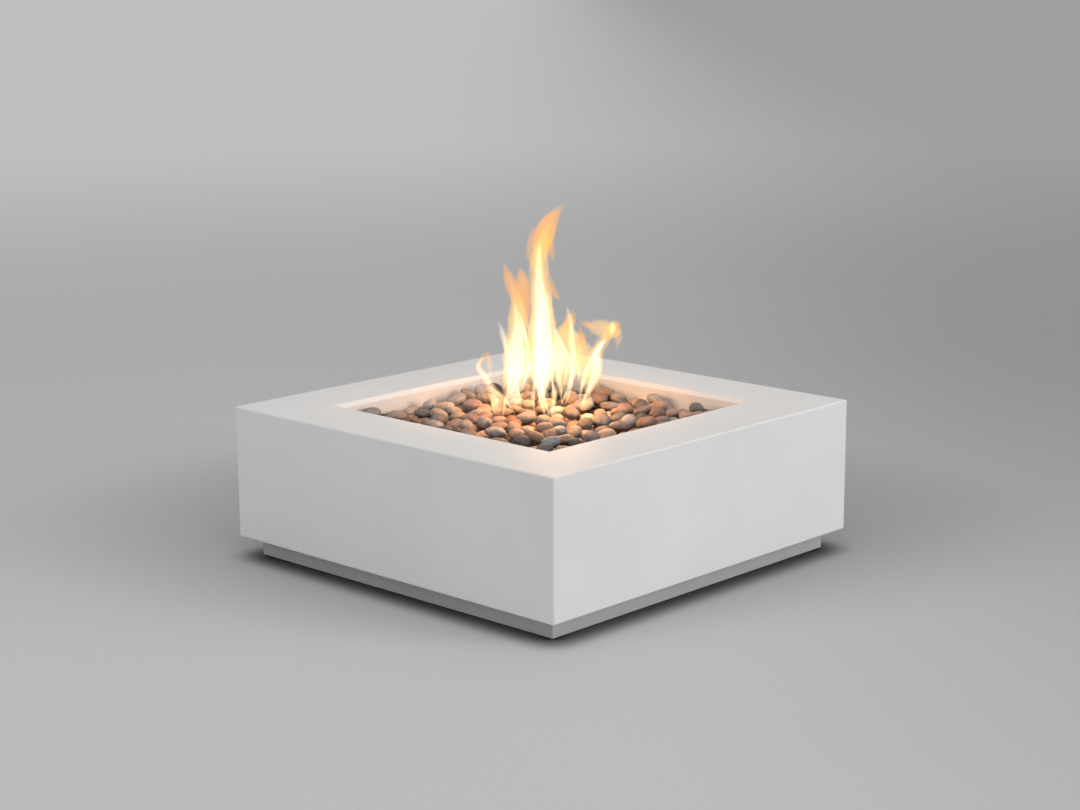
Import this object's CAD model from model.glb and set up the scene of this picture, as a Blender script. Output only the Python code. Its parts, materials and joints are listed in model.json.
import json
import math
import random

import bmesh
import bpy
import numpy as np
from mathutils import Matrix, Vector, noise


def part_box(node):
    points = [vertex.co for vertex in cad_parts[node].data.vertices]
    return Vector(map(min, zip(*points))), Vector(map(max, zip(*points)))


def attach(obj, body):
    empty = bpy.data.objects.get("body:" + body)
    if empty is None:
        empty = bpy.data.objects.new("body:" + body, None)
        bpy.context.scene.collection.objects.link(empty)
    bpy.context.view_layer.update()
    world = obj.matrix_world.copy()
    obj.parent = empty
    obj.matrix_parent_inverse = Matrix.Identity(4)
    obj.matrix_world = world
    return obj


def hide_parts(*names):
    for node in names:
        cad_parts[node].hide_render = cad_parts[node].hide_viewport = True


# Sizes are in metres and angles in radians, unless a name or a comment says otherwise

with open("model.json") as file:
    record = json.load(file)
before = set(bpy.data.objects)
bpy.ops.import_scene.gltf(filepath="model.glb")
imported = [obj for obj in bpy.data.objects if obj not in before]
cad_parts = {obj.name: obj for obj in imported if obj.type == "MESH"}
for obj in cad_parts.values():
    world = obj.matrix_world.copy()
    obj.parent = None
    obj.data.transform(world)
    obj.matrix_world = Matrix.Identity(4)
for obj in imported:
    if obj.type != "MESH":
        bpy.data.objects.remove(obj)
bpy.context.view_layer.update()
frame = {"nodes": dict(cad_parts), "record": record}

ROOT = "table"
NODES = frame["nodes"]
STONE_NODES = sorted(name for name in NODES if name.startswith("stones_"))
SLOT_OF = {part["node"]: part["material_slot"] for part in frame["record"]["subparts"]}


# Materials


class Shader:
    """One material's node tree. Each texture method returns a socket, over the object's own metres."""

    MIX_A, MIX_B, MIX_RESULT = 6, 7, 2  # the mix node's colour sockets

    def __init__(self, name):
        self.material = bpy.data.materials.new(name)
        self.material.use_nodes = True
        self.tree = self.material.node_tree
        self.bsdf = self.tree.nodes["Principled BSDF"]
        self.place = self.node("ShaderNodeTexCoord").outputs["Object"]

    def node(self, kind, **settings):
        made = self.tree.nodes.new(kind)
        for key, value in settings.items():
            setattr(made, key, value)
        return made

    def feed(self, socket, value):
        if isinstance(value, bpy.types.NodeSocket):
            self.tree.links.new(value, socket)
        else:
            socket.default_value = value

    def stretched(self, scale):
        mapping = self.node("ShaderNodeMapping")
        self.feed(mapping.inputs["Vector"], self.place)
        self.feed(mapping.inputs["Scale"], scale)
        return mapping.outputs["Vector"]

    def noise(self, scale, detail=4.0, rough=0.5, distortion=0.0, place=None):
        made = self.node("ShaderNodeTexNoise")
        self.feed(made.inputs["Vector"], place or self.place)
        self.feed(made.inputs["Scale"], scale)
        self.feed(made.inputs["Detail"], detail)
        self.feed(made.inputs["Roughness"], rough)
        self.feed(made.inputs["Distortion"], distortion)
        return made.outputs[0]

    def cells(self, scale):
        made = self.node("ShaderNodeTexVoronoi")
        self.feed(made.inputs["Vector"], self.place)
        self.feed(made.inputs["Scale"], scale)
        return made.outputs["Distance"]

    def attribute(self, name):
        return self.node("ShaderNodeAttribute", attribute_name=name).outputs["Color"]

    def levels(self, value, low, high, to_low=0.0, to_high=1.0, curve="LINEAR"):
        made = self.node("ShaderNodeMapRange", clamp=True, interpolation_type=curve)
        for socket, given in zip(made.inputs, (value, low, high, to_low, to_high)):
            self.feed(socket, given)
        return made.outputs["Result"]

    def math(self, operation, a, b):
        made = self.node("ShaderNodeMath", operation=operation)
        self.feed(made.inputs[0], a)
        self.feed(made.inputs[1], b)
        return made.outputs[0]

    def along(self, direction):
        """How far a place lies along a direction from the object's origin."""
        made = self.node("ShaderNodeVectorMath", operation="DOT_PRODUCT")
        self.feed(made.inputs[0], self.place)
        self.feed(made.inputs[1], direction)
        return made.outputs["Value"]

    def mix(self, share, a, b, blend="MIX"):
        made = self.node("ShaderNodeMix", data_type="RGBA", blend_type=blend)
        self.feed(made.inputs[0], share)
        self.feed(made.inputs[self.MIX_A], a)
        self.feed(made.inputs[self.MIX_B], b)
        return made.outputs[self.MIX_RESULT]

    def bump(self, height, distance, strength=1.0, normal=None):
        made = self.node("ShaderNodeBump")
        self.feed(made.inputs["Height"], height)
        self.feed(made.inputs["Distance"], distance)
        self.feed(made.inputs["Strength"], strength)
        if normal is not None:
            self.feed(made.inputs["Normal"], normal)
        return made.outputs["Normal"]

    def done(self, colour, roughness, metallic=0.0, normal=None, specular=0.5):
        self.feed(self.bsdf.inputs["Base Color"], colour)
        self.feed(self.bsdf.inputs["Roughness"], roughness)
        self.feed(self.bsdf.inputs["Metallic"], metallic)
        self.feed(self.bsdf.inputs["Specular IOR Level"], specular)
        if normal is not None:
            self.feed(self.bsdf.inputs["Normal"], normal)
        return self.material


def rgb(r, g, b):
    return (r, g, b, 1.0)


def grey(value):
    return rgb(value, value, value)


def concrete(name, light, dark):
    """Cast concrete, or a paint like it: broad clouds, faint patches, a fine grain and a few pinholes."""
    s = Shader(name)
    clouds = s.noise(2.1, 6.0, 0.6, 0.5)
    patches = s.noise(13.0, 5.0, 0.55)
    grain = s.noise(520.0, 3.0)
    pores = s.cells(46.0)
    where = s.noise(5.0, 3.0)
    tone = s.mix(s.levels(clouds, 0.36, 0.66), light, dark)
    tone = s.mix(s.levels(patches, 0.50, 0.78, 0.0, 0.30), tone, dark)
    tone = s.mix(s.levels(grain, 0.40, 0.72, 0.0, 0.10), tone, rgb(0.45, 0.45, 0.44))
    pinhole = s.math("MULTIPLY", s.levels(pores, 0.050, 0.030), s.levels(where, 0.52, 0.60))
    tone = s.mix(s.math("MULTIPLY", pinhole, 0.45), tone, rgb(0.28, 0.28, 0.27))
    normal = s.bump(s.noise(9.0, 3.0), 0.0012, 0.25)
    normal = s.bump(grain, 0.00012, 0.5, normal)
    normal = s.bump(s.levels(pinhole, 0.0, 1.0, 1.0, 0.0), 0.0006, 0.6, normal)
    return s.done(tone, s.levels(patches, 0.3, 0.7, 0.50, 0.58), 0.0, normal, 0.5)


def steel(name, tone, grain_scale, roughness):
    """Brushed or plated steel: fine lines along the grain, and a slow drift of tone."""
    s = Shader(name)
    lines = s.noise(1.0, 4.0, 0.6, 0.0, s.stretched(grain_scale))
    drift = s.noise(7.0, 3.0)
    dark = rgb(*(0.72 * v for v in tone[:3]))
    colour = s.mix(s.levels(lines, 0.30, 0.72), dark, tone)
    colour = s.mix(s.levels(drift, 0.45, 0.75, 0.0, 0.25), colour, dark)
    rough = s.levels(lines, 0.25, 0.75, roughness, roughness + 0.16)
    return s.done(colour, rough, 1.0, s.bump(lines, 0.00015, 0.35))


def black_iron():
    """Black pipe: dark mill scale, paler where it is rubbed, with a trace of rust."""
    s = Shader("black_iron")
    scale = s.noise(60.0, 6.0, 0.65)
    rust = s.noise(22.0, 5.0, 0.6, 1.0)
    colour = s.mix(s.levels(scale, 0.35, 0.70), rgb(0.020, 0.020, 0.022), rgb(0.085, 0.083, 0.082))
    colour = s.mix(s.levels(rust, 0.58, 0.74, 0.0, 0.55), colour, rgb(0.115, 0.048, 0.022))
    return s.done(colour, s.levels(scale, 0.3, 0.7, 0.42, 0.66), 0.55, s.bump(scale, 0.0003, 0.5))


def brass():
    """Machined brass with a light tarnish."""
    s = Shader("brass")
    turned = s.noise(1.0, 3.0, 0.5, 0.0, s.stretched((900.0, 40.0, 900.0)))
    tarnish = s.noise(48.0, 5.0, 0.6)
    colour = s.mix(s.levels(tarnish, 0.38, 0.72), rgb(0.66, 0.46, 0.17), rgb(0.36, 0.24, 0.09))
    return s.done(colour, s.levels(turned, 0.3, 0.7, 0.24, 0.42), 1.0, s.bump(turned, 0.0001, 0.3))


def moulded(name, tone, roughness, grain):
    """Rubber, plastic or glaze: one colour with a fine moulded grain and faint dust."""
    s = Shader(name)
    fine = s.noise(grain, 3.0)
    dust = s.noise(30.0, 5.0, 0.6)
    paler = rgb(*(min(1.0, 1.5 * v + 0.012) for v in tone[:3]))
    colour = s.mix(s.levels(dust, 0.48, 0.78, 0.0, 0.5), tone, paler)
    rough = s.levels(fine, 0.3, 0.7, roughness - 0.06, roughness + 0.08)
    return s.done(colour, rough, 0.0, s.bump(fine, 0.0002, 0.35))


def lava_rock():
    """Porous lava: near black, rusty in places, full of small pits."""
    s = Shader("lava_rock")
    lumps = s.noise(120.0, 6.0, 0.65)
    pits = s.cells(330.0)
    rust = s.noise(35.0, 4.0)
    colour = s.mix(s.levels(lumps, 0.35, 0.68), rgb(0.016, 0.014, 0.013), rgb(0.070, 0.058, 0.050))
    colour = s.mix(s.levels(rust, 0.52, 0.70, 0.0, 0.55), colour, rgb(0.085, 0.042, 0.026))
    normal = s.bump(lumps, 0.0025, 0.8)
    normal = s.bump(s.levels(pits, 0.1, 0.5), 0.0012, 0.8, normal)
    return s.done(colour, 0.88, 0.0, normal, 0.25)


def river_stone(name, tone):
    """A tumbled stone: its own tint, soft bands, dark and pale speckle and a faint skin texture."""
    s = Shader(name)
    tint = s.attribute("stone_tint")
    bands = s.noise(38.0, 4.0, 0.55, 1.2)
    speck = s.noise(720.0, 3.0, 0.6)
    flecks = s.cells(520.0)
    skin = s.noise(260.0, 5.0, 0.6)
    own = s.mix(1.0, tone, tint, "MULTIPLY")
    darker = s.mix(1.0, own, rgb(0.62, 0.60, 0.58), "MULTIPLY")
    paler = s.mix(0.30, own, rgb(0.62, 0.57, 0.52))
    colour = s.mix(s.levels(bands, 0.36, 0.66), darker, own)
    colour = s.mix(s.levels(speck, 0.50, 0.68, 0.0, 0.65), colour, darker)
    colour = s.mix(s.levels(flecks, 0.22, 0.08, 0.0, 0.55), colour, paler)
    normal = s.bump(skin, 0.0005, 0.45)
    return s.done(colour, s.levels(skin, 0.3, 0.7, 0.52, 0.72), 0.0, normal, 0.35)


MATERIALS = {
    "concrete": concrete("cast_concrete", rgb(0.760, 0.756, 0.748), rgb(0.722, 0.718, 0.712)),
    "plinth_paint": concrete("plinth_paint", rgb(0.52, 0.52, 0.52), rgb(0.47, 0.47, 0.47)),
    "stainless": steel("stainless", rgb(0.62, 0.62, 0.63), (14.0, 14.0, 900.0), 0.26),
    "zinc": steel("zinc", rgb(0.56, 0.57, 0.60), (160.0, 160.0, 160.0), 0.34),
    "black_iron": black_iron(),
    "brass": brass(),
    "rubber": moulded("rubber", rgb(0.022, 0.022, 0.022), 0.82, 900.0),
    "black_plastic": moulded("black_plastic", rgb(0.026, 0.026, 0.028), 0.46, 1400.0),
    "ceramic": moulded("ceramic", rgb(0.78, 0.76, 0.70), 0.30, 600.0),
    "lava": lava_rock(),
    "charcoal_stone": river_stone("charcoal_stone", rgb(0.105, 0.100, 0.100)),
    "slate_stone": river_stone("slate_stone", rgb(0.185, 0.180, 0.182)),
    "blue_grey_stone": river_stone("blue_grey_stone", rgb(0.235, 0.245, 0.255)),
    "grey_stone": river_stone("grey_stone", rgb(0.330, 0.305, 0.285)),
    "taupe_stone": river_stone("taupe_stone", rgb(0.310, 0.255, 0.222)),
    "plum_stone": river_stone("plum_stone", rgb(0.240, 0.195, 0.192)),
    "brown_stone": river_stone("brown_stone", rgb(0.255, 0.190, 0.155)),
    "sand_stone": river_stone("sand_stone", rgb(0.420, 0.350, 0.295)),
    "graphite_stone": river_stone("graphite_stone", rgb(0.140, 0.138, 0.140)),
    "ash_stone": river_stone("ash_stone", rgb(0.390, 0.372, 0.355)),
    "umber_stone": river_stone("umber_stone", rgb(0.185, 0.142, 0.120)),
    "clay_stone": river_stone("clay_stone", rgb(0.350, 0.265, 0.218)),
}


def paint(obj, material):
    obj.data.materials.clear()
    obj.data.materials.append(material)


for node_name, node_obj in NODES.items():
    paint(node_obj, MATERIALS[SLOT_OF[node_name]])


# Pieces


def new_object(name, mesh):
    obj = bpy.data.objects.new(name, mesh)
    bpy.context.scene.collection.objects.link(obj)
    return obj


def mesh_of(name, verts, faces, smooth=True):
    mesh = bpy.data.meshes.new(name)
    mesh.from_pydata([tuple(v) for v in verts], [], [tuple(f) for f in faces])
    mesh.polygons.foreach_set("use_smooth", [smooth] * len(mesh.polygons))
    mesh.update()
    return mesh


def dress(obj, slot, replaced=None, body=ROOT):
    paint(obj, MATERIALS[slot])
    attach(obj, body)
    if replaced:
        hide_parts(replaced)


WELD = 1e-6
FLAT_ANGLE = math.radians(0.5)
SHARP_ANGLE = math.radians(25)
EDGE_STEPS = 2


def softened_copy(node, name, edge):
    """A copy of a CAD node's mesh with its sharp edges rounded a little."""
    bm = bmesh.new()
    bm.from_mesh(NODES[node].data)
    bmesh.ops.remove_doubles(bm, verts=bm.verts, dist=WELD)
    bmesh.ops.dissolve_limit(bm, angle_limit=FLAT_ANGLE, verts=bm.verts, edges=bm.edges)
    sharp = [e for e in bm.edges if len(e.link_faces) == 2 and e.calc_face_angle(0.0) > SHARP_ANGLE]
    bmesh.ops.bevel(
        bm, geom=sharp, offset=edge, segments=EDGE_STEPS, profile=0.5, affect="EDGES", clamp_overlap=True
    )
    mesh = bpy.data.meshes.new(name)
    bm.to_mesh(mesh)
    bm.free()
    mesh.polygons.foreach_set("use_smooth", [True] * len(mesh.polygons))
    obj = new_object(name, mesh)
    weighted = obj.modifiers.new("weighted_normals", "WEIGHTED_NORMAL")
    weighted.keep_sharp = True
    return obj


def islands(mesh):
    """The points of each separate solid in a mesh: joined points end up with the same, lowest label."""
    points = np.empty(len(mesh.vertices) * 3)
    mesh.vertices.foreach_get("co", points)
    points, same = np.unique(points.reshape(-1, 3).round(6), axis=0, return_inverse=True)
    ends = np.empty(len(mesh.edges) * 2, dtype=int)
    mesh.edges.foreach_get("vertices", ends)
    a, b = same.reshape(-1)[ends.reshape(-1, 2)].T
    label = np.arange(len(points))
    while True:
        low = np.minimum(label[a], label[b])
        lower = label.copy()
        np.minimum.at(lower, a, low)
        np.minimum.at(lower, b, low)
        lower = lower[lower]
        if (lower == label).all():
            break
        label = lower
    return [points[label == k] for k in np.unique(label)]


def ellipsoid_of(points):
    """(middle, axes as columns, half sizes) of the ellipsoid whose surface the points lie on."""
    axes = np.linalg.svd(points - points.mean(0), full_matrices=False)[2].T
    axes[:, 2] *= np.linalg.det(axes)  # keeps the axes right-handed, so that faces point outwards
    along = points @ axes
    low, high = along.min(0), along.max(0)
    return axes @ ((low + high) / 2), axes, (high - low) / 2


def ball(subdivisions):
    bm = bmesh.new()
    bmesh.ops.create_icosphere(bm, subdivisions=subdivisions, radius=1.0)
    verts = np.array([v.co[:] for v in bm.verts])
    faces = np.array([[v.index for v in f.verts] for f in bm.faces])
    bm.free()
    return verts, faces


LUMP_SEEDS = (1.0, 60.0)
LUMP_SHIFT = (17.3, -9.1, 5.7)


def lumpy(directions, seed, weights):
    """Radius of a ball in each direction, made uneven by noise of each (frequency, weight)."""
    shift = Vector([seed * step for step in LUMP_SHIFT])
    radius = np.ones(len(directions))
    for frequency, weight in weights:
        radius += weight * np.array([noise.noise(Vector(d) * frequency + shift) for d in directions])
    return radius


STONE_FINENESS = 4
STONE_FULLNESS = (2.05, 2.45)  # 2 is an ellipsoid, and more is boxier
STONE_LUMPS = ((0.9, 0.10), (2.0, 0.05))
STONE_VALUE = (0.78, 1.42)
STONE_WARMTH = (-0.06, 0.10)


def tumbled_stones(node):
    """The stones of one CAD node, each given an uneven, worn shape and a tint of its own."""
    verts, faces, tints = [], [], []
    directions, triangles = ball(STONE_FINENESS)
    rng = random.Random(node)
    for k, points in enumerate(islands(NODES[node].data)):
        middle, axes, half = ellipsoid_of(points)
        fullness = rng.uniform(*STONE_FULLNESS)
        box_radius = (np.abs(directions) ** fullness).sum(1) ** (-1.0 / fullness)
        radius = box_radius * lumpy(directions, rng.uniform(*LUMP_SEEDS), STONE_LUMPS)
        shape = directions * radius[:, None]
        shape = shape / np.abs(shape).max(0)
        faces.append(triangles + len(directions) * k)
        verts.append(middle + (shape * half) @ axes.T)
        value = rng.uniform(*STONE_VALUE)
        warm = rng.uniform(*STONE_WARMTH)
        own_tint = rgb(value * (1 + warm), value, value * (1 - warm))
        tints.append(np.tile(own_tint, (len(directions), 1)))
    mesh = mesh_of(node + "_tumbled", np.vstack(verts), np.vstack(faces))
    tint = mesh.color_attributes.new("stone_tint", "FLOAT_COLOR", "POINT")
    tint.data.foreach_set("color", np.vstack(tints).ravel())
    return new_object(node + "_tumbled", mesh)


CHIP_SEED = 11
CHIP_FINENESS = 2
CHIP_PITCH = 0.018
CHIP_STRAY = 0.35  # from its place on the grid, as a share of the pitch
CHIP_RISE = (-0.0045, 0.0005)
CHIP_SIZE = (0.0060, 0.0095)
CHIP_LUMPS = ((1.6, 0.55),)
CHIP_WIDTH = (0.85, 1.15)
CHIP_HEIGHT = (0.6, 0.9)


def lava_chips():
    """Small lumps of lava over the top of the bed, up to half a pitch from its edge."""
    directions, triangles = ball(CHIP_FINENESS)
    bed_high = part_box("lava_bed")[1]
    rng = random.Random(CHIP_SEED)
    verts, faces = [], []
    rows = int(2 * (bed_high[0] - CHIP_PITCH / 2) / CHIP_PITCH)
    for i in range(rows):
        for j in range(rows):
            middle = np.array([
                (i - (rows - 1) / 2 + rng.uniform(-CHIP_STRAY, CHIP_STRAY)) * CHIP_PITCH,
                (j - (rows - 1) / 2 + rng.uniform(-CHIP_STRAY, CHIP_STRAY)) * CHIP_PITCH,
                bed_high[2] + rng.uniform(*CHIP_RISE),
            ])
            size = rng.uniform(*CHIP_SIZE)
            radius = lumpy(directions, rng.uniform(*LUMP_SEEDS), CHIP_LUMPS)
            squash = np.array([rng.uniform(*span) for span in (CHIP_WIDTH, CHIP_WIDTH, CHIP_HEIGHT)])
            faces.append(triangles + len(directions) * (i * rows + j))
            verts.append(middle + size * squash * directions * radius[:, None])
    mesh = mesh_of("lava_chips", np.vstack(verts), np.vstack(faces), smooth=False)
    return new_object("lava_chips", mesh)


SCREW_RADIUS = 0.0036
SCREW_INSET = 0.0075
SCREW_TURN = 0.7  # from each screw to the next
DOME_HEIGHT = 0.38  # as a share of the radius
CROSS_BAR = Vector((1.1, 0.22, 0.12)) * SCREW_RADIUS
CROSS_LIFT = 0.33 * SCREW_RADIUS


def screw_heads(name, places, out):
    """Small domed screw heads with a low cross on top, at places on a wall that faces out."""
    bm = bmesh.new()
    turn = Vector((0, 0, 1)).rotation_difference(Vector(out)).to_matrix().to_4x4()
    for k, place in enumerate(places):
        at = Matrix.Translation(Vector(place)) @ turn @ Matrix.Rotation(SCREW_TURN * k, 4, "Z")
        dome = bmesh.ops.create_uvsphere(bm, u_segments=20, v_segments=10, radius=SCREW_RADIUS)["verts"]
        for v in dome:
            v.co.z = max(0.0, v.co.z) * DOME_HEIGHT
        bmesh.ops.transform(bm, matrix=at, verts=dome)
        for quarter in (0, 1):
            lift = Matrix.Translation((0, 0, CROSS_LIFT))
            bar_at = at @ lift @ Matrix.Rotation(quarter * math.pi / 2, 4, "Z")
            bar = bmesh.ops.create_cube(bm, size=1.0)["verts"]
            bmesh.ops.scale(bm, vec=CROSS_BAR, verts=bar)
            bmesh.ops.transform(bm, matrix=bar_at, verts=bar)
    mesh = bpy.data.meshes.new(name)
    bm.to_mesh(mesh)
    bm.free()
    return new_object(name, mesh)


SHELL_EDGE = 0.0011
PLINTH_EDGE = 0.0008
dress(softened_copy("shell", "shell_cast", SHELL_EDGE), "concrete", "shell")
dress(softened_copy("plinth_frame", "plinth_folded", PLINTH_EDGE), "plinth_paint", "plinth_frame")
for stone_node in STONE_NODES:
    dress(tumbled_stones(stone_node), SLOT_OF[stone_node], stone_node)
dress(lava_chips(), "lava")

frame_low, frame_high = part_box("hatch_frame")
frame_middle = (frame_low[0] + frame_high[0]) / 2
dress(
    screw_heads(
        "hatch_screws",
        [
            (x, frame_high[1], z)
            for x in (frame_low[0] + SCREW_INSET, frame_middle, frame_high[0] - SCREW_INSET)
            for z in (frame_low[2] + SCREW_INSET, frame_high[2] - SCREW_INSET)
        ],
        (0, 1, 0),
    ),
    "zinc",
)
tray_low, tray_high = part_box("control_tray")
dress(
    screw_heads(
        "tray_screws",
        [
            (tray_high[0], y, z)
            for y in (tray_low[1] + SCREW_INSET, tray_high[1] - SCREW_INSET)
            for z in (tray_low[2] + SCREW_INSET, tray_high[2] - SCREW_INSET)
        ],
        (1, 0, 0),
    ),
    "zinc",
)


# The photograph's view, which the flame, the floor and the camera are set out by

VIEW_YAW = 0.8128
VIEW_RIGHT = Vector((math.cos(VIEW_YAW), -math.sin(VIEW_YAW), 0.0))
VIEW_AWAY = Vector((math.sin(VIEW_YAW), math.cos(VIEW_YAW), 0.0))
UP = Vector((0.0, 0.0, 1.0))


# Flame: burning gas is no piece of the table, so it stands with the stage

# Each tongue: its kind, how far back it stands, then points (right, up, half width), all in millimetres.
# The points follow the flame's tongues in the photograph, read off it by eye.
TONGUES = [
    ("veil", 10, [(1, 399, 5), (-1, 446, 27), (-2, 485, 33), (-1, 524, 34), (0, 570, 33), (0, 609, 29),
                  (-3, 648, 26), (-6, 684, 24), (-6, 720, 26), (-3, 755, 31), (4, 789, 29),
                  (15, 819, 24), (31, 844, 15), (46, 862, 7), (56, 873, 0)]),
    ("veil", -37, [(-89, 380, 3), (-82, 413, 14), (-72, 453, 27), (-65, 492, 33), (-61, 531, 31),
                   (-58, 571, 27), (-59, 606, 26), (-61, 639, 22), (-69, 668, 17), (-78, 694, 15),
                   (-87, 720, 8), (-94, 745, 0)]),
    ("tip", 24, [(-37, 564, 7), (-41, 616, 16), (-44, 658, 18), (-49, 693, 14), (-55, 721, 0)]),
    ("tip", 17, [(-17, 710, 5), (-28, 746, 10), (-25, 787, 9), (-20, 824, 0)]),
    ("tip", -10, [(11, 710, 5), (22, 676, 10), (34, 651, 9), (50, 637, 0)]),
    ("tip", 7, [(11, 787, 14), (21, 757, 11), (31, 726, 0)]),
    ("veil", 44, [(50, 392, 4), (56, 445, 29), (63, 485, 37), (62, 524, 34), (61, 554, 29),
                  (69, 578, 18), (75, 595, 9), (74, 612, 0)]),
    ("core", 34, [(73, 544, 5), (71, 576, 7), (65, 599, 5), (58, 626, 0)]),
    ("veil", 75, [(102, 405, 5), (106, 445, 24), (105, 481, 27), (100, 514, 20), (95, 544, 9),
                  (92, 566, 0)]),
    ("veil", 65, [(108, 379, 3), (122, 419, 16), (130, 451, 20), (133, 484, 18), (144, 511, 16),
                  (159, 533, 18), (174, 550, 21), (182, 565, 14), (175, 579, 0)]),
    ("veil", 68, [(179, 548, 17), (154, 554, 22), (130, 559, 18), (109, 566, 10), (90, 572, 0)]),
    ("veil", 65, [(184, 550, 14), (189, 525, 10), (183, 499, 0)]),
    ("veil", -68, [(-110, 363, 3), (-112, 400, 17), (-123, 433, 12), (-141, 465, 9), (-155, 486, 8),
                   (-147, 503, 8), (-136, 515, 8), (-132, 529, 0)]),
    ("veil", -61, [(-128, 450, 3), (-128, 479, 7), (-129, 505, 7), (-132, 528, 0)]),
    ("veil", -51, [(-33, 413, 3), (-35, 452, 14), (-33, 492, 17), (-30, 531, 13), (-27, 564, 0)]),
    ("core", 0, [(1, 393, 3), (1, 436, 22), (0, 479, 27), (0, 518, 28), (0, 557, 27), (0, 596, 23),
                 (-2, 635, 20), (-6, 674, 14), (-7, 713, 10), (-7, 745, 8), (-5, 771, 5), (-2, 797, 0)]),
    ("core", -41, [(-85, 393, 3), (-74, 436, 17), (-66, 479, 24), (-62, 518, 22), (-59, 558, 17),
                   (-60, 590, 10), (-64, 623, 5), (-66, 652, 0)]),
    ("core", 37, [(37, 399, 2), (40, 442, 10), (43, 482, 14), (40, 521, 11), (33, 554, 5),
                  (28, 573, 0)]),
    ("core", 51, [(65, 406, 2), (76, 448, 10), (77, 488, 9), (73, 527, 10), (71, 557, 5), (70, 576, 0)]),
    ("core", 61, [(112, 382, 2), (126, 422, 10), (133, 461, 14), (136, 496, 11), (148, 520, 7),
                  (163, 538, 0)]),
    ("core", 65, [(169, 539, 3), (175, 554, 10), (175, 565, 8), (172, 577, 0)]),
    ("core", -51, [(-83, 505, 5), (-91, 545, 8), (-98, 573, 6), (-108, 598, 0)]),
    ("core", -71, [(-111, 377, 2), (-113, 405, 10), (-123, 433, 8), (-141, 465, 7), (-155, 485, 6),
                   (-151, 499, 4), (-140, 513, 0)]),
    ("strand", -82, [(-64, 366, 1), (-80, 392, 4), (-95, 412, 5), (-111, 426, 4), (-130, 446, 0)]),
    ("core", -58, [(-80, 390, 2), (-64, 416, 8), (-48, 444, 9), (-35, 475, 8), (-31, 505, 0)]),
    ("strand", -17, [(-22, 346, 1), (-22, 380, 3), (-23, 413, 5), (-19, 446, 0)]),
    ("strand", -24, [(12, 338, 1), (0, 379, 5), (-4, 407, 7), (-1, 432, 0)]),
    ("strand", -24, [(20, 337, 1), (26, 379, 5), (29, 412, 7), (24, 449, 0)]),
    ("strand", 14, [(52, 367, 1), (47, 392, 3), (45, 419, 5), (43, 445, 0)]),
    ("strand", 17, [(54, 367, 1), (65, 398, 4), (71, 425, 5), (74, 455, 0)]),
    ("strand", 51, [(88, 371, 1), (94, 399, 3), (100, 425, 4), (102, 455, 0)]),
    ("strand", 41, [(96, 352, 1), (105, 384, 4), (116, 412, 5), (126, 442, 0)]),
    ("strand", 58, [(120, 372, 1), (117, 395, 3), (120, 419, 5), (126, 442, 0)]),
    ("strand", -85, [(-115, 356, 1), (-117, 380, 3), (-121, 400, 5), (-126, 423, 0)]),
    ("strand", -68, [(-96, 352, 1), (-94, 380, 3), (-89, 406, 5), (-82, 436, 0)]),
    ("strand", -41, [(-53, 378, 1), (-56, 403, 4), (-61, 426, 5), (-64, 452, 0)]),
    ("streak", -55, [(-52, 419, 1), (-40, 459, 4), (-34, 491, 5), (-37, 542, 5), (-48, 593, 4),
                     (-58, 631, 0)]),
    ("streak", -60, [(-91, 395, 1), (-65, 439, 4), (-49, 478, 5), (-45, 517, 4), (-49, 545, 0)]),
    ("streak", -58, [(-68, 414, 1), (-81, 453, 4), (-84, 491, 5), (-78, 536, 4), (-71, 574, 0)]),
    ("streak", -20, [(-24, 384, 1), (-18, 430, 4), (-24, 472, 5), (-21, 517, 4), (-17, 555, 0)]),
    ("streak", -26, [(3, 365, 1), (-10, 414, 4), (-14, 453, 5), (-9, 497, 4), (-5, 542, 0)]),
    ("streak", -30, [(19, 341, 1), (7, 388, 4), (-2, 427, 5), (1, 468, 0)]),
    ("streak", -26, [(30, 394, 1), (24, 446, 4), (26, 491, 5), (22, 542, 4), (14, 593, 0)]),
    ("streak", 20, [(46, 371, 1), (63, 413, 4), (73, 452, 5), (64, 491, 5), (50, 523, 4), (41, 550, 0)]),
    ("streak", 28, [(50, 407, 1), (59, 452, 4), (54, 491, 4), (40, 538, 0)]),
    ("streak", 40, [(93, 380, 1), (101, 420, 4), (111, 458, 5), (127, 490, 5), (149, 521, 4),
                    (164, 537, 0)]),
    ("streak", 44, [(86, 425, 1), (91, 452, 4), (83, 478, 4), (74, 516, 4), (77, 554, 0)]),
]


def spline(points, steps):
    """Points along a smooth curve through the given ones, each with its half width."""
    ends = [points[0]] + list(points) + [points[-1]]
    curve = []
    for i in range(len(points) - 1):
        p = [Vector(q) for q in ends[i : i + 4]]
        for t in np.linspace(0.0, 1.0, steps, endpoint=False):
            curve.append(
                0.5 * (2 * p[1] + (p[2] - p[0]) * t + (2 * p[0] - 5 * p[1] + 4 * p[2] - p[3]) * t * t
                       + (3 * p[1] - p[0] - 3 * p[2] + p[3]) * t ** 3)
            )
    curve.append(Vector(points[-1]))
    return curve


MM = 0.001
STEPS_BETWEEN = 6
POINTS_AROUND = 18
THINNEST = 0.25
TAPER = 0.3
DEPTH = 0.7
FLUTTER = 0.22
FLUTTER_ROUND = 1.3
FLUTTER_UP = 0.022
FLUTTER_FINER = 2.7
SEED_STEP = 3.1


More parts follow.
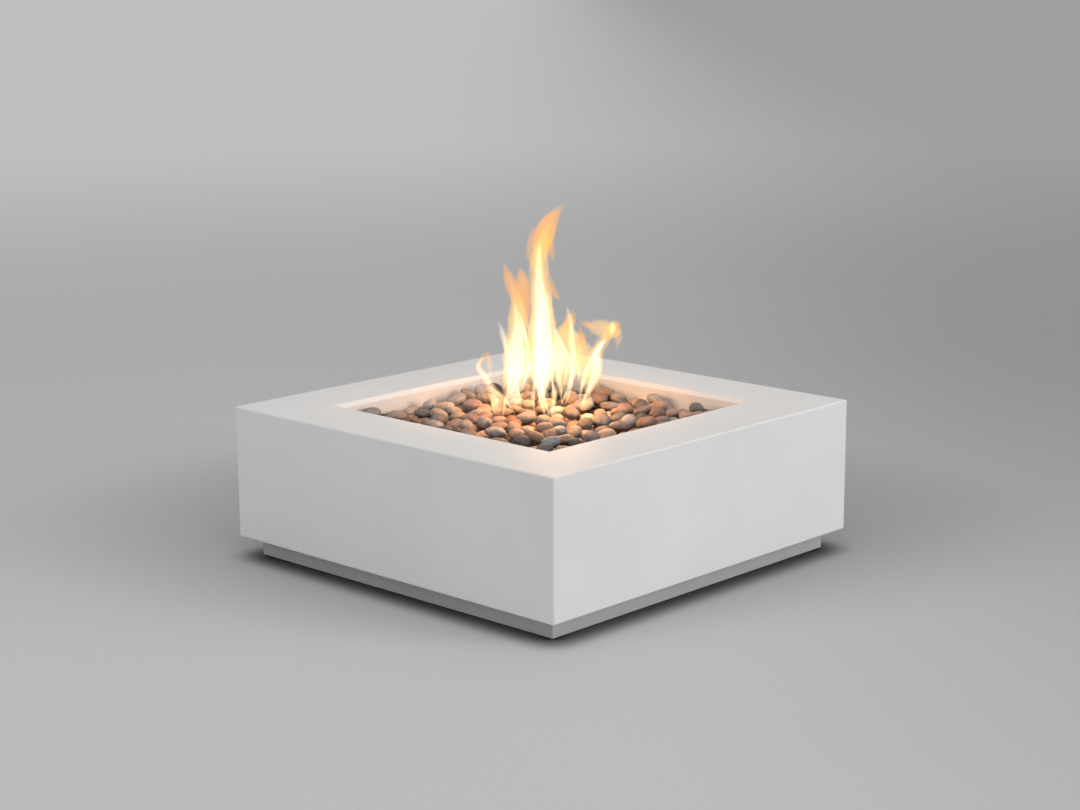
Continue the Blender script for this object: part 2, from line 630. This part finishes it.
def tongue_mesh(name, back, points, share, start, stop, seed):
    """A closed, uneven tube along a tongue of flame, tapered where it starts or stops short of the ends."""
    curve = spline(points, STEPS_BETWEEN)
    verts, faces = [], []
    for k, here in enumerate(curve):
        ahead = curve[min(k + 1, len(curve) - 1)] - curve[max(k - 1, 0)]
        along = (VIEW_RIGHT * ahead.x + UP * ahead.y).normalized()
        side = along.cross(VIEW_AWAY)
        middle = (VIEW_RIGHT * here.x + UP * here.y + VIEW_AWAY * back) * MM
        done = k / (len(curve) - 1)
        fade_in = 1.0 if start == 0.0 else min(1.0, max(0.0, (done - start) / TAPER))
        fade_out = 1.0 if stop == 1.0 else min(1.0, max(0.0, (stop - done) / TAPER))
        width = max(THINNEST, here.z * share * fade_in * fade_out) * MM
        for j in range(POINTS_AROUND):
            angle = 2 * math.pi * j / POINTS_AROUND
            across, deep = math.cos(angle), math.sin(angle)
            edge = Vector((FLUTTER_ROUND * across, FLUTTER_ROUND * deep, here.y * FLUTTER_UP + seed))
            flutter = 1.0 + FLUTTER * noise.noise(edge) + 0.5 * FLUTTER * noise.noise(FLUTTER_FINER * edge)
            verts.append(middle + (side * across + VIEW_AWAY * (DEPTH * deep)) * width * flutter)
    for k in range(len(curve) - 1):
        for j in range(POINTS_AROUND):
            a, b = k * POINTS_AROUND + j, k * POINTS_AROUND + (j + 1) % POINTS_AROUND
            faces.append((a, b, b + POINTS_AROUND, a + POINTS_AROUND))
    faces.append(tuple(reversed(range(POINTS_AROUND))))
    faces.append(tuple(range(len(verts) - POINTS_AROUND, len(verts))))
    mesh = mesh_of(name, verts, faces)
    bm = bmesh.new()
    bm.from_mesh(mesh)
    bmesh.ops.recalc_face_normals(bm, faces=bm.faces)
    bm.to_mesh(mesh)
    bm.free()
    return mesh


def burning_gas(name, light, strength, tint, density):
    """A clear gas that gives light and dims what is behind it, both more where it is thicker."""
    material = bpy.data.materials.new(name)
    material.use_nodes = True
    tree = material.node_tree
    tree.nodes.remove(tree.nodes["Principled BSDF"])
    emission = tree.nodes.new("ShaderNodeEmission")
    emission.inputs["Color"].default_value = light
    emission.inputs["Strength"].default_value = strength
    dimming = tree.nodes.new("ShaderNodeVolumeAbsorption")
    dimming.inputs["Color"].default_value = tint
    dimming.inputs["Density"].default_value = density
    both = tree.nodes.new("ShaderNodeAddShader")
    tree.links.new(emission.outputs[0], both.inputs[0])
    tree.links.new(dimming.outputs[0], both.inputs[1])
    tree.links.new(both.outputs[0], tree.nodes["Material Output"].inputs["Volume"])
    return material


AMBER = rgb(0.95, 0.70, 0.28)
LOW_GAS = burning_gas("flame_low", rgb(1.0, 0.68, 0.36), 18.0, AMBER, 28.0)
TIP_GAS = burning_gas("flame_tip", rgb(1.0, 0.42, 0.13), 24.0, AMBER, 40.0)
HALO_GAS = burning_gas("flame_halo", rgb(1.0, 0.76, 0.44), 13.0, AMBER, 12.0)
CORE_GAS = burning_gas("flame_core", rgb(1.0, 0.97, 0.93), 30.0, AMBER, 3.0)
STRAND_GAS = burning_gas("flame_strand", rgb(1.0, 0.78, 0.42), 90.0, AMBER, 30.0)
STREAK_GAS = burning_gas("flame_streak", rgb(1.0, 0.92, 0.70), 80.0, AMBER, 20.0)

# What each kind of tongue is made of: a gas, its share of the thickness, and where it starts and stops
GASES_OF = {
    "veil": [(LOW_GAS, 1.0, 0.0, 0.85), (TIP_GAS, 1.0, 0.45, 1.0)],
    "tip": [(TIP_GAS, 1.0, 0.0, 1.0)],
    "core": [(HALO_GAS, 1.35, 0.0, 1.0), (CORE_GAS, 0.82, 0.0, 1.0)],
    "strand": [(STRAND_GAS, 1.0, 0.0, 1.0)],
    "streak": [(STREAK_GAS, 1.0, 0.0, 1.0)],
}
for k, (kind, back, points) in enumerate(TONGUES):
    for gas, share, start, stop in GASES_OF[kind]:
        name = "%s_%d" % (gas.name, k)
        tongue = new_object(name, tongue_mesh(name, back, points, share, start, stop, SEED_STEP * k))
        paint(tongue, gas)
        tongue.visible_shadow = False  # a flame throws no shadow of its own


# Stage: a plain pale floor, soft light and the photograph's camera

CAMERA_AT = Vector((-3.7761, -3.5663, 1.4995))
VIEW_PITCH = 0.213
VIEW_ROLL = 0.005
LENS_MM = 71.9
SENSOR_MM = 36.0
FLOOR_REACH = 90.0  # so far that its edge passes for the horizon
CONTACT_REACH = 0.07
CONTACT_DEPTH = 1.6


def floor_material():
    """A pale floor, paler far off, with broad soft shades beside the table and to the right of it.

    It is darkest close under the table, where little light gets in.
    """
    s = Shader("studio_floor")
    far = s.node("ShaderNodeVectorMath", operation="LENGTH")
    s.feed(far.inputs[0], s.place)
    far = far.outputs["Value"]
    aside = s.along(VIEW_RIGHT)
    ahead = s.along(VIEW_AWAY)

    def oval_shade(middle, reach, flat_share, depth):
        across = s.math("DIVIDE", s.math("SUBTRACT", aside, middle[0]), reach[0])
        along = s.math("DIVIDE", s.math("SUBTRACT", ahead, middle[1]), reach[1])
        square = s.math("ADD", s.math("MULTIPLY", across, across), s.math("MULTIPLY", along, along))
        return s.levels(s.math("POWER", square, 0.5), flat_share, 1.0, 1.0 - depth, 1.0, "SMOOTHSTEP")

    drift = s.noise(0.35, 3.0)
    fine = s.noise(60.0, 3.0)
    tone = s.mix(s.levels(drift, 0.3, 0.7), grey(0.525), grey(0.545))
    tone = s.mix(s.levels(fine, 0.4, 0.7, 0.0, 0.12), tone, grey(0.48))
    tone = s.mix(s.levels(far, 1.8, 12.0, 0.0, 1.0, "SMOOTHSTEP"), tone, grey(0.80))

    right_end = s.levels(far, 1.5, 7.0, 0.86, 0.66, "SMOOTHSTEP")
    right_share = s.levels(aside, -1.2, 3.4, 0.0, 1.0, "SMOOTHSTEP")
    open_air = s.node("ShaderNodeAmbientOcclusion", samples=8)
    s.feed(open_air.inputs["Distance"], CONTACT_REACH)
    dimming = s.levels(right_share, 0.0, 1.0, 1.0, right_end)
    for shade in (
        s.math("POWER", open_air.outputs["AO"], CONTACT_DEPTH),
        oval_shade(middle=(0.0, 0.35), reach=(1.5, 1.15), flat_share=0.45, depth=0.24),
        oval_shade(middle=(1.83, 1.23), reach=(1.96, 6.2), flat_share=0.0, depth=0.24),
    ):
        dimming = s.math("MULTIPLY", dimming, shade)
    tone = s.mix(1.0, tone, dimming, "MULTIPLY")
    return s.done(tone, 0.8, 0.0, None, 0.2)


bpy.ops.mesh.primitive_plane_add(size=2 * FLOOR_REACH)
floor = bpy.context.object
floor.name = "studio_floor"
paint(floor, floor_material())


LAMP_BLEND = 0.5


def lamp(name, kind, energy, colour, at, toward=(0.0, 0.0, 0.2), size=1.0, cone=math.pi):
    """A lamp that isn't seen itself. A narrow cone keeps an area lamp's light off the floor at its foot."""
    data = bpy.data.lights.new(name, kind)
    data.energy = energy
    data.color = colour
    if kind == "AREA":
        data.size = size
        data.spread = cone
    else:
        data.shadow_soft_size = size
    if kind == "SPOT":
        data.spot_size = cone
        data.spot_blend = LAMP_BLEND
    obj = new_object(name, data)
    obj.location = at
    obj.rotation_euler = (Vector(toward) - Vector(at)).to_track_quat("-Z", "Y").to_euler()
    obj.visible_camera = False


WHITE = (1.0, 1.0, 1.0)
KEY_WHITE = (1.0, 0.99, 0.99)
FIRELIGHT = (1.0, 0.50, 0.20)
DEEP_FIRELIGHT = (1.0, 0.46, 0.17)
lamp("key_right", "AREA", 70.0, KEY_WHITE, (2.4, -5.6, 1.9), size=3.0, cone=2.0)
lamp("front_soft", "AREA", 33.0, WHITE, (-2.6, -2.8, 4.6), toward=(-0.9, -0.9, 0.0), size=3.0)
lamp("fill_left", "AREA", 22.0, WHITE, (-5.4, 0.8, 2.2), size=3.2, cone=2.0)
lamp("fire", "POINT", 2.6, FIRELIGHT, (0.04, -0.03, 0.46), size=0.08)
lamp(
    "fire_on_stones", "SPOT", 20.0, DEEP_FIRELIGHT, (0.0, 0.0, 0.74),
    toward=(-0.02, -0.02, 0.0), size=0.14, cone=1.4,
)


def studio_air(overhead, horizon, seen):
    """Even light from all round, dimmer towards the horizon. Seen or mirrored, it is one pale tone."""
    world = bpy.data.worlds.new("studio_air")
    world.use_nodes = True
    tree = world.node_tree
    place = tree.nodes.new("ShaderNodeTexCoord")
    split = tree.nodes.new("ShaderNodeSeparateXYZ")
    tree.links.new(place.outputs["Generated"], split.inputs[0])
    fall = tree.nodes.new("ShaderNodeMapRange")
    fall.interpolation_type = "SMOOTHSTEP"
    fall.inputs["To Min"].default_value = horizon
    fall.inputs["To Max"].default_value = overhead
    tree.links.new(split.outputs["Z"], fall.inputs["Value"])
    path = tree.nodes.new("ShaderNodeLightPath")
    direct = path.outputs["Is Camera Ray"]
    for kind in ("Is Glossy Ray", "Is Transmission Ray"):
        either = tree.nodes.new("ShaderNodeMath")
        either.operation = "MAXIMUM"
        tree.links.new(direct, either.inputs[0])
        tree.links.new(path.outputs[kind], either.inputs[1])
        direct = either.outputs[0]
    shown = tree.nodes.new("ShaderNodeMapRange")
    tree.links.new(direct, shown.inputs["Value"])
    tree.links.new(fall.outputs["Result"], shown.inputs["To Min"])
    shown.inputs["To Max"].default_value = seen
    background = tree.nodes["Background"]
    background.inputs["Color"].default_value = grey(1.0)
    tree.links.new(shown.outputs["Result"], background.inputs["Strength"])
    bpy.context.scene.world = world


studio_air(overhead=0.90, horizon=0.10, seen=0.42)


def photo_camera():
    """The camera that was fitted to the table's edges in the photograph."""
    ahead = VIEW_AWAY * math.cos(VIEW_PITCH) - UP * math.sin(VIEW_PITCH)
    level_down = ahead.cross(VIEW_RIGHT)
    right = VIEW_RIGHT * math.cos(VIEW_ROLL) + level_down * math.sin(VIEW_ROLL)
    up = right.cross(ahead)
    data = bpy.data.cameras.new("photo_camera")
    data.sensor_width = SENSOR_MM
    data.lens = LENS_MM
    obj = new_object("photo_camera", data)
    obj.matrix_world = Matrix.Translation(CAMERA_AT) @ Matrix((right, up, -ahead)).transposed().to_4x4()
    bpy.context.scene.camera = obj


photo_camera()
bpy.context.scene.view_settings.view_transform = "Standard"
